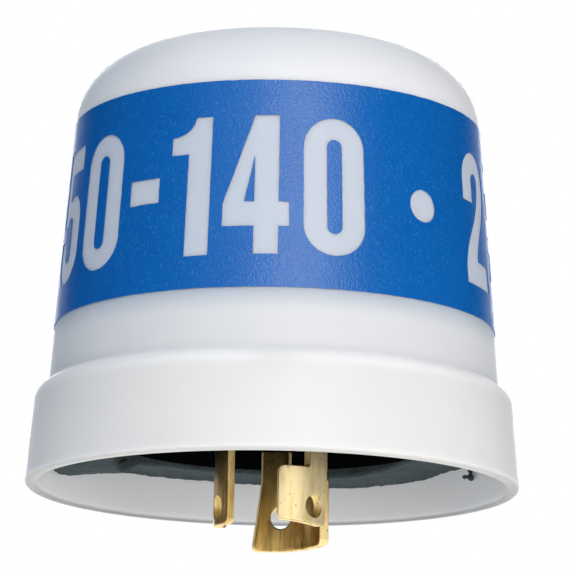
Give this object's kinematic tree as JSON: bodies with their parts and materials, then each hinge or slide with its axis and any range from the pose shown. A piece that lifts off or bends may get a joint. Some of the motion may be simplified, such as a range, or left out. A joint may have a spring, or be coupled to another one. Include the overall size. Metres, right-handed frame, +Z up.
{
  "type": "photocell switch",
  "caption": "Locking plug-in photocell switch for a street light: stepped milky cover with a blue band, black base, foam gasket and curved brass blades.",
  "frame": {"origin": "on the axis of the blades, in the plane of the gasket's sealing face", "axes": "+Z up along the axis towards the crown, blades down; +Y towards the wide neutral blade's side"},
  "size_m": [0.078, 0.0778, 0.079],
  "materials": {
    "cover": "milky moulded polypropylene, satin",
    "ink": "screen-printed blue ink",
    "base": "black moulded phenolic",
    "foam": "closed-cell foam, die cut",
    "blade_brass": "stamped brass, lightly tarnished",
    "inner_brass": "stamped brass",
    "bimetal": "rolled bimetal strip",
    "contact_silver": "silver alloy",
    "carbon_body": "moulded carbon resistor body",
    "tinned_wire": "tinned copper wire",
    "holder": "moulded natural nylon",
    "cell_ceramic": "coated light cell on ceramic",
    "dipped_disc": "epoxy dip"
  },
  "bodies": {
    "root": {"cover": "cover", "printed_band": "ink", "base_plate": "base", "gasket": "foam", "neutral_blade": "blade_brass", "line_blade": "blade_brass", "load_blade": "blade_brass", "blade_rivets": "blade_brass", "line_bracket": "inner_brass", "load_bracket": "inner_brass", "heated_bimetal": "bimetal", "compensating_bimetal": "bimetal", "moving_contact": "contact_silver", "fixed_contact": "contact_silver", "arm_rivets": "inner_brass", "calibration_screw": "inner_brass", "heater_resistor": "carbon_body", "heater_leads": "tinned_wire", "cell_holder": "holder", "photocell": "cell_ceramic", "photocell_leads": "tinned_wire", "lead_splice": "tinned_wire", "surge_arrester": "dipped_disc", "arrester_leads": "tinned_wire"}
  },
  "joints": []
}
